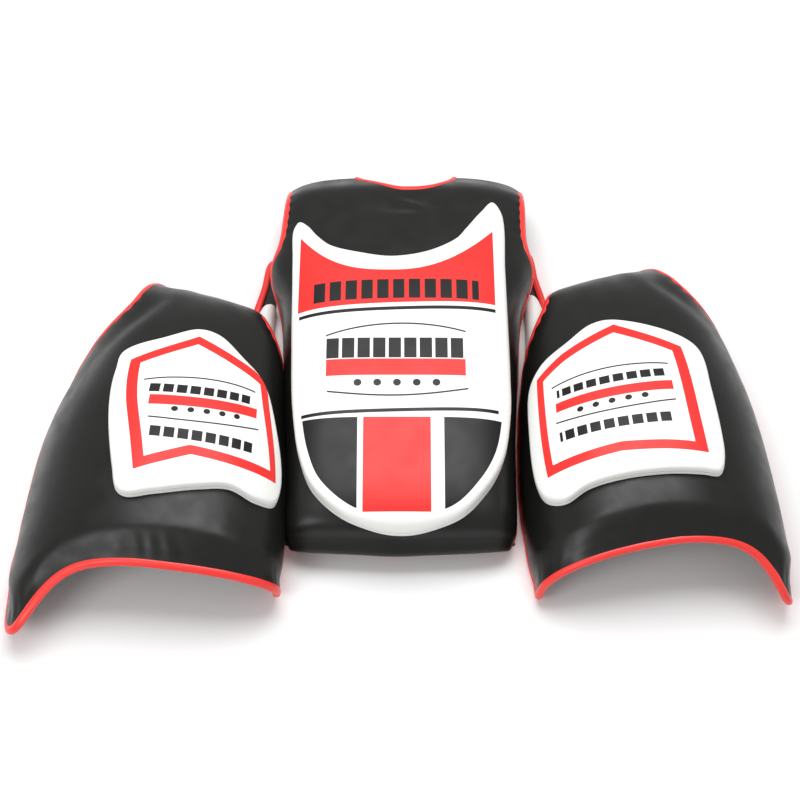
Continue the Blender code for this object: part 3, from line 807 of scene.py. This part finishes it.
RIGHT = Pad(THIGH_ROWS, 0.357, -0.2605, -9, -1, 0.0, -0.004, 0.050, -0.015, 0.028, 0.150, -0.020, 0.42, 0.045)
MARGIN_SINK = 0.0050


def thigh_relief(a, t):
    """Undulations and side puckers, and the margin sunk along the hem, with small puckers in it."""
    up = rows_at(THIGH_ROWS, t)[..., 0]
    wander = 0.004 * np.sin(5.3 * a + 1.1)
    sunk = (1 - smooth(0.014 + wander, 0.040 + wander, up)) * (0.75 + 0.25 * np.sin(6.1 * a + 0.4))
    ridge = np.exp(-(((up - 0.044 - wander) / 0.009) ** 2)) * (0.5 + 0.5 * np.sin(4.1 * a - 0.6))
    puckers = np.sin(41 * a + 5 * np.sin(9 * a) + 60 * up) * sunk * smooth(0, 0.012, up)
    sides = np.exp(-(1 - np.abs(a)) / 0.06) * np.sin(120 * t + 3 * np.sin(19 * t))
    margin = 0.0012 * ridge - MARGIN_SINK * sunk + 0.0004 * puckers
    return 0.0007 * ripple(a, t, 5) + 0.0005 * sides + margin


for side, pad in (("left", LEFT), ("right", RIGHT)):
    top, out, whole = pad_layers(pad, thigh_relief, 221, 261)
    cover = closed_slab(f"{side}_thigh_pad_cover", top, top - out * LEATHER)
    fit(cover, BLACK_LEATHER, "black_leather", f"{side}_thigh_pad", f"{side}_thigh_cover", fill=0.9)
    inner_layers(f"{side}_thigh", top, out, whole, f"{side}_thigh_pad")
    a, t = round_three_sides()
    sewn_tape(f"{side}_thigh_tape", pad, thigh_relief, a, t, f"{side}_thigh_binding", f"{side}_thigh_pad")

# ---------------------------------------------------------------------------------------------------
# The thigh badges: a five-sided white raised pad on each thigh pad's front, printed with a red frame
# that follows its sides, and with bars and dots inside it.

BADGE_ACROSS = 0.228
BADGE_HEIGHT = 0.0175
BADGE_ROUND = 0.0055
BADGE_CROWN = 0.0010
BADGE_MIDDLE = (0.052, 0.190)
Badge = namedtuple("Badge", "pad outline frame")
BADGES = {
    "left": Badge(
        LEFT,
        (
            (0.011, 0.340),
            (-0.034, 0.318),
            (-0.078, 0.293),
            (-0.075, 0.261),
            (-0.064, 0.171),
            (-0.052, 0.114),
            (-0.043, 0.083),
            (-0.032, 0.076),
            (-0.002, 0.083),
            (0.048, 0.098),
            (0.084, 0.106),
            (0.125, 0.098),
            (0.171, 0.106),
            (0.180, 0.129),
            (0.157, 0.207),
            (0.125, 0.274),
            (0.084, 0.306),
            (0.048, 0.335),
        ),
        (
            (0.016, 0.324),
            (-0.059, 0.274),
            (-0.048, 0.207),
            (-0.027, 0.106),
            (0.034, 0.136),
            (0.160, 0.129),
            (0.125, 0.280),
            (0.075, 0.299),
        ),
    ),
    "right": Badge(
        RIGHT,
        (
            (0.030, 0.324),
            (-0.057, 0.280),
            (-0.071, 0.261),
            (-0.071, 0.200),
            (-0.071, 0.136),
            (-0.068, 0.098),
            (-0.059, 0.076),
            (-0.039, 0.076),
            (0.046, 0.083),
            (0.093, 0.083),
            (0.128, 0.076),
            (0.162, 0.091),
            (0.176, 0.114),
            (0.178, 0.193),
            (0.173, 0.261),
            (0.146, 0.287),
            (0.098, 0.306),
            (0.064, 0.324),
        ),
        (
            (0.030, 0.312),
            (-0.046, 0.261),
            (-0.048, 0.098),
            (0.048, 0.114),
            (0.148, 0.114),
            (0.150, 0.267),
            (0.105, 0.287),
        ),
    ),
}
FRAME_WIDTH = 0.013
BADGE_BANDS = {
    "left": (
        ("black", 0.037, 0.070, 0.2470, 0.0022, 0.10, 0.006, *WHOLE),
        ("black", 0.040, 0.064, 0.2330, 0.0130, 0.08, 0.0, 0.0160, 0.76),
        ("red", 0.045, 0.067, 0.2150, 0.0150, 0.082, 0.0, *WHOLE),
        ("black", 0.048, 0.068, 0.1900, 0.0022, 0.10, -0.004, *WHOLE),
        ("black", 0.048, 0.064, 0.1640, 0.0150, 0.02, 0.0, 0.0160, 0.76),
    ),
    "right": (
        ("black", 0.050, 0.073, 0.2365, 0.0022, 0.048, 0.005, *WHOLE),
        ("black", 0.050, 0.066, 0.2230, 0.0120, 0.05, 0.0, 0.0160, 0.76),
        ("red", 0.048, 0.071, 0.2025, 0.0140, 0.05, 0.0, *WHOLE),
        ("black", 0.049, 0.072, 0.1800, 0.0022, 0.050, -0.004, *WHOLE),
        ("black", 0.052, 0.066, 0.1560, 0.0140, 0.07, 0.0, 0.0160, 0.76),
    ),
}
BADGE_DOTS = {
    "left": (0.009, 0.0187, 5, 0.1990, 0.09, 0.0040),
    "right": (0.011, 0.0190, 5, 0.1880, 0.03, 0.0040),
}

for side, (pad, outline, frame_line) in BADGES.items():
    line = loop_through(outline, 420)
    badge_rings = raised_rings(line, np.array(BADGE_MIDDLE), BADGE_HEIGHT, BADGE_ROUND, BADGE_CROWN)
    plan = badge_rings[..., :2].reshape(-1, 2)
    steps = np.linspace(0, 1, 2001)
    t = np.interp(plan[:, 1], rows_at(THIGH_ROWS, steps)[:, 0], steps)
    flare = 1 + np.where(plan[:, 0] > 0, pad.inner, pad.outer) * (1 - t) ** 2.2
    a = np.arcsin(np.sin(plan[:, 0] / BADGE_ACROSS * math.pi / 2) / flare) * 2 / math.pi
    rings = rising(pad, a, t, badge_rings[..., 2].reshape(-1)).reshape(badge_rings.shape)
    badge = ring_stack(f"{side}_thigh_badge_pad", rings)
    mark(badge, "print_u", with_ends(badge_rings[..., 0]))
    mark(badge, "print_v", with_ends(badge_rings[..., 1]))
    in_frame = distance_to(np.array(frame_line), plan).reshape(badge_rings.shape[:2])
    mark(badge, "inset", with_ends(in_frame))
    finish, tree, shader = hide(f"printed white badge {side}", WHITE, 0.36, 0.44, 1100, 0.06, gloss=0.32)
    ring_mask = between(tree, 0.0, reads(tree, "inset"), FRAME_WIDTH)
    dots = dot_mask(tree, *BADGE_DOTS[side])
    printed(tree, shader, BADGE_BANDS[side], [dots], [ring_mask])
    body = f"{side}_thigh_pad"
    stands_for = (f"{side}_thigh_badge_cover", f"{side}_thigh_badge_foam")
    fit(badge, finish, "white_leather", body, *stands_for, fill=1.0)

# ---------------------------------------------------------------------------------------------------
# The rib wings: a puffy white pad on a thin black base, sewn to each side of the belly pad along a
# straight seam, so that it can fold back round the ribs. Red tape binds the base's tongue.

WING_SEAM = 0.179
WING_WIDTHS = (0.046, 0.050, 0.040, 0.030, 0.018)
WING_BOTTOM = {-1: 0.286, 1: 0.302}
WING_LENGTH = 0.116
WING_HEIGHT = 0.0300
WING_ROUND = 0.012
WING_BASE = 0.0024
TONGUE_FROM = 0.085
TONGUE_TAPE_HEIGHT = 0.0052
TONGUE_TAPE_SHARE = 0.8

WHITE_LEATHER = hide("plain white leather", WHITE, 0.38, 0.46, 1100, 0.06, coat=0.05)[0]


def wing_outline(side, inset):
    """The seam edge straight, the outer edge through the widths from bottom to top, all drawn in by the inset."""
    up = np.linspace(0, 1, 5)
    y = BELLY.y + WING_BOTTOM[side] + inset + (WING_LENGTH - 2 * inset) * up
    outer = np.stack([WING_SEAM + np.maximum(np.array(WING_WIDTHS) - inset, 0.006), y], 1)
    inner = np.stack([np.full(5, WING_SEAM + 0.4 * inset), y], 1)[::-1]
    return loop_through(np.vstack([outer, inner]), 200) * (side, 1)


def base_outline(side):
    """The black base: the same seam and widths, with a tongue that tapers up beside the arm opening."""
    low = BELLY.y + WING_BOTTOM[side]
    outer = [(0.046, 0.0), (0.050, 0.029), (0.041, 0.060), (0.032, 0.090), (0.026, 0.114), (0.017, 0.150)]
    outer += [(0.010, 0.190), (0.004, 0.196), (0.001, 0.190), (0.0, 0.140), (0.0, 0.090), (0.0, 0.040), (0.0, 0.0)]
    return loop_through(np.array(outer) + (WING_SEAM, low), 200) * (side, 1)


for side_name, side in (("left", -1), ("right", 1)):
    body = f"{side_name}_rib_wing"
    line = wing_outline(side, 0.004)
    wing_rings = raised_rings(line, line.mean(0), WING_HEIGHT - WING_BASE - 0.001, WING_ROUND, 0.001)
    wing_rings[..., 2] = np.maximum(wing_rings[..., 2], 0) + WING_BASE + 0.0004
    wing = ring_stack(f"{side_name}_rib_wing_pad", wing_rings)
    fit(wing, WHITE_LEATHER, "white_leather", body, f"{body}_cover", f"{body}_foam", fill=1.0)
    line = base_outline(side)
    inner_line = line.mean(0) * (0.02, 0.0) + line * (0.98, 1.0)
    spine = np.stack([np.full(len(line), side * (WING_SEAM + 0.004)), line[:, 1]], 1)
    levels = [(spine, WING_BASE), (inner_line, WING_BASE), (line, 0.7 * WING_BASE), (line, 0.0008), (spine, 0.0003)]
    levels = [np.dstack([ring[None], np.full((1, len(line), 1), z)]) for ring, z in levels]
    base = ring_stack(f"{side_name}_rib_wing_back", np.concatenate(levels))
    fit(base, BLACK_LEATHER, "black_leather", body, f"{body}_base")
    on_tongue = line[:, 1] > BELLY.y + WING_BOTTOM[side] + TONGUE_FROM
    edge = line[on_tongue & (np.abs(line[:, 0]) > WING_SEAM + 0.0045)]
    edge = even_walk(edge[np.argsort(edge[:, 1])], 90)
    path = np.column_stack([edge, np.full(len(edge), TONGUE_TAPE_HEIGHT)])
    ups = np.tile((0.0, 0.0, 1.0), (len(path), 1))
    tape = carried(f"{side_name}_rib_wing_tape", path, ups, tape_section() * TONGUE_TAPE_SHARE)
    fit(tape, RED_TAPE, "red_binding", body)

# ---------------------------------------------------------------------------------------------------
# The shoulder flaps: the ends of the two shoulders, folded over the top and hanging down behind to the
# table. Each is one solid, all in the black leather.

FLAP_AT = 0.55
FLAP_HALF = 0.14
FLAP_THICKNESS = 0.013
FLAP_LIFT = 0.0036
FLAP_BEND = 0.008


def flap_grid(side, depth):
    """Down from the fold: p runs across the shoulder and q from the table to the fold, where the top bends
    forward through a quarter circle into the cover's edge."""
    p, q = np.meshgrid(np.linspace(-1, 1, 41), np.linspace(0, 1, 61))
    start = face(BELLY, side * (FLAP_AT + FLAP_HALF * p), np.ones(p.shape))
    top = start[..., 2] - 0.003
    down = 1 - q
    z = top - (top - FLAP_LIFT) * down
    bend = np.exp(-(((1 - q) / 0.16) ** 2)) * FLAP_BEND
    edge = (1 - np.abs(p) ** 8) * (1 - down**16)
    y = start[..., 1] + 0.001 - bend - depth * (1 - 0.35 * (1 - edge)) - 0.005 * down**2
    y = y + 0.0012 * np.sin(3 * p + side) * np.sin(5 * q)
    return np.stack([start[..., 0], y, z], -1)


for side_name, side in (("left", -1), ("right", 1)):
    flap = closed_slab(f"{side_name}_shoulder_end", flap_grid(side, 0.0), flap_grid(side, FLAP_THICKNESS))
    fit(flap, BLACK_LEATHER, "black_leather", "belly_pad", f"{side_name}_shoulder_flap", fill=0.8)

# ---------------------------------------------------------------------------------------------------
# The straps: black woven webbing across each hollow. A keeper sewn at one side holds a nickel wire
# ring; the band from the other side is threaded through it, and its loose end is folded back on itself.

WEBBING = 0.0014
RING_BAR = 0.0017
RING_LENGTH = 0.024
RING_CLEARANCE = 0.004
RING_Z = 0.0045
CURL = RING_BAR + 0.0004 + WEBBING / 2
LOOP_WIDTH = 0.040
LOOP_REACH = 0.083
LOOP_HEIGHT = 0.030
LOOP_UP = 0.385
Strap = namedtuple("Strap", "name body x y angle width root reach tab")
WEBBING_COLOUR = (0.014, 0.014, 0.015, 1.0)
NICKEL = (0.72, 0.71, 0.68, 1.0)
WEBBING_CLOTH = cloth("black webbing", WEBBING_COLOUR, 0.7, 2400, 0.8)
WIRE = hide("nickel wire", NICKEL, 0.22, 0.30, 500, 0.02)[0]
WIRE.node_tree.nodes["Principled BSDF"].inputs["Metallic"].default_value = 1.0


def webbing_section(width):
    """Flat webbing: a rectangle with its corners rounded by a superellipse of exponent 8."""
    angle = np.linspace(0, 2 * math.pi, 48, endpoint=False) + 0.05
    cos, sin = np.cos(angle), np.sin(angle)
    reach = (np.abs(cos) ** 8 + np.abs(sin) ** 8) ** (-1 / 8)
    return np.stack([width / 2 * cos * reach, WEBBING / 2 * sin * reach], 1)


def on_table(x, y, angle, points):
    """Points of a strap's own frame turned by its angle about Z and moved to its place."""
    cos, sin = math.cos(math.radians(angle)), math.sin(math.radians(angle))
    along, aside, up = np.asarray(points, float).T
    return np.stack([x + cos * along - sin * aside, y + sin * along + cos * aside, up], 1)


def ribbon(name, profile, width, x, y, angle):
    """Webbing that follows its side view, (distance, height) pairs, with its flat side square to the path."""
    profile = even_walk(np.asarray(profile, float), 140)
    path = on_table(x, y, angle, np.stack([profile[:, 0], 0 * profile[:, 0], profile[:, 1]], 1))
    tangents = np.gradient(path, axis=0)
    aside = np.array([-math.sin(math.radians(angle)), math.cos(math.radians(angle)), 0.0])
    return carried(name, path, np.cross(tangents, aside), webbing_section(width))


def pad_place(pad, x, y):
    """A point of a pad's own plan on the table: turned with the pad, then moved to its place."""
    cos, sin = math.cos(math.radians(pad.turn)), math.sin(math.radians(pad.turn))
    x *= pad.side
    return pad.x + cos * x + sin * y, pad.y - sin * x + cos * y


STRAPS = [
    Strap("left_shoulder_strap", "belly_pad", -0.075, BELLY.y + 0.367, 90, 0.050, 0.085, 0.212, 0.070),
    Strap("right_shoulder_strap", "belly_pad", 0.075, BELLY.y + 0.367, 90, 0.050, 0.085, 0.212, 0.070),
    Strap("waist_strap", "belly_pad", -0.030, BELLY.y + 0.205, 0, 0.080, 0.106, 0.166, 0.065),
]
for side, pad in (("left", LEFT), ("right", RIGHT)):
    heading = -pad.turn if pad.side > 0 else 180 - pad.turn
    for which, up in (("lower", 0.120), ("upper", 0.225)):
        place = (*pad_place(pad, -0.045, up), heading)
        STRAPS.append(Strap(f"{side}_thigh_{which}", f"{side}_thigh_pad", *place, 0.050, 0.088, 0.184, 0.085))

turns = np.radians(np.linspace(-90, 90, 25))
curl = np.stack([CURL * np.cos(turns), RING_Z + CURL * np.sin(turns)], 1)
low, high = RING_Z - CURL, RING_Z + CURL
for strap in STRAPS:
    place = (strap.x, strap.y, strap.angle)
    keeper = np.vstack([[(-strap.root, low)], curl, [(-0.028, high)]])
    piece = ribbon(f"{strap.name}_sewn_keeper", keeper, strap.width, *place)
    fit(piece, WEBBING_CLOTH, "black_webbing", strap.body, f"{strap.name}_keeper")
    turned = np.stack([RING_LENGTH - curl[:, 0], curl[:, 1]], 1)
    tab = np.vstack([[(RING_LENGTH + 0.002, low)], turned, [(RING_LENGTH + strap.tab, high)]])
    piece = ribbon(f"{strap.name}_loose_end", tab, strap.width, *place)
    fit(piece, WEBBING_CLOTH, "black_webbing", f"{strap.name}_tab", f"{strap.name}_tab")
    band = [(RING_LENGTH + 0.0038, low), (strap.reach, low)]
    piece = ribbon(f"{strap.name}_sewn_band", band, strap.width, *place)
    fit(piece, WEBBING_CLOTH, "black_webbing", strap.body, f"{strap.name}_band")
    half = strap.width / 2 + RING_CLEARANCE
    angle = np.linspace(0, 2 * math.pi, 400, endpoint=False)
    reach = (np.abs(np.cos(angle)) ** 14 + np.abs(np.sin(angle)) ** 14) ** (-1 / 14)
    wire_x, wire_y = RING_LENGTH / 2 * (1 + np.cos(angle) * reach), half * np.sin(angle) * reach
    wire = even_walk(np.stack([wire_x, wire_y, 0 * angle + RING_Z], 1), 240, closed=True)
    around = np.linspace(0, 2 * math.pi, 16, endpoint=False)
    section = RING_BAR * np.stack([np.cos(around), np.sin(around)], 1)
    path = on_table(*place, wire)
    ups = np.tile((0.0, 0.0, 1.0), (len(path), 1))
    ring = carried(f"{strap.name}_wire_ring", path, ups, section, closed=True)
    fit(ring, WIRE, "nickel_wire", f"{strap.name}_ring", f"{strap.name}_ring")

for side, pad in (("left", LEFT), ("right", RIGHT)):
    place = (*pad_place(pad, 0, LOOP_UP), -pad.turn)
    line = [(-LOOP_REACH, LOOP_HEIGHT), (LOOP_REACH, LOOP_HEIGHT)]
    loop = ribbon(f"{side}_thigh_belt_slide", line, LOOP_WIDTH, *place)
    fit(loop, WEBBING_CLOTH, "black_webbing", f"{side}_thigh_pad", f"{side}_thigh_belt_loop")

# ---------------------------------------------------------------------------------------------------
# The room: a pale table top, one broad soft light overhead, a second from the front left, and the
# camera, which looks down at the set from the front.

CAMERA_AT = Vector((0.0, -1.2403, 2.0853))
CAMERA_TO = Vector((0.0, -0.0036, 0.0281))
LENS = 78.3
TABLE_GREY = (0.93, 0.93, 0.93, 1)

bpy.ops.mesh.primitive_plane_add(size=12)
floor = bpy.context.object
floor.name = "table_top"
pale = bpy.data.materials.new("pale table")
pale.use_nodes = True
pale.node_tree.nodes["Principled BSDF"].inputs["Base Color"].default_value = TABLE_GREY
pale.node_tree.nodes["Principled BSDF"].inputs["Roughness"].default_value = 0.9
floor.data.materials.append(pale)

world = bpy.data.worlds.new("studio")
bpy.context.scene.world = world
world.use_nodes = True
world.node_tree.nodes["Background"].inputs["Color"].default_value = (1, 1, 1, 1)
world.node_tree.nodes["Background"].inputs["Strength"].default_value = 0.55


def soft_light(name, place, aim, size, power):
    """A rectangle of light at a place, turned to face the point it is aimed at."""
    data = bpy.data.lights.new(name, "AREA")
    data.shape = "RECTANGLE"
    data.size, data.size_y = size
    data.energy = power
    light = bpy.data.objects.new(name, data)
    light.location = place
    light.rotation_euler = (Vector(aim) - Vector(place)).to_track_quat("-Z", "Y").to_euler()
    bpy.context.scene.collection.objects.link(light)


soft_light("overhead", (0.0, 0.55, 2.3), (0, 0.0, 0.05), (2.2, 1.4), 46)
soft_light("front left", (-1.5, -1.5, 1.8), (0, 0, 0.05), (1.0, 1.0), 14)

data = bpy.data.cameras.new("camera")
data.lens = LENS
data.sensor_width = 36
camera = bpy.data.objects.new("camera", data)
camera.location = CAMERA_AT
camera.rotation_euler = (CAMERA_TO - CAMERA_AT).to_track_quat("-Z", "Y").to_euler()
bpy.context.scene.collection.objects.link(camera)
bpy.context.scene.camera = camera
bpy.context.scene.view_settings.view_transform = "Standard"
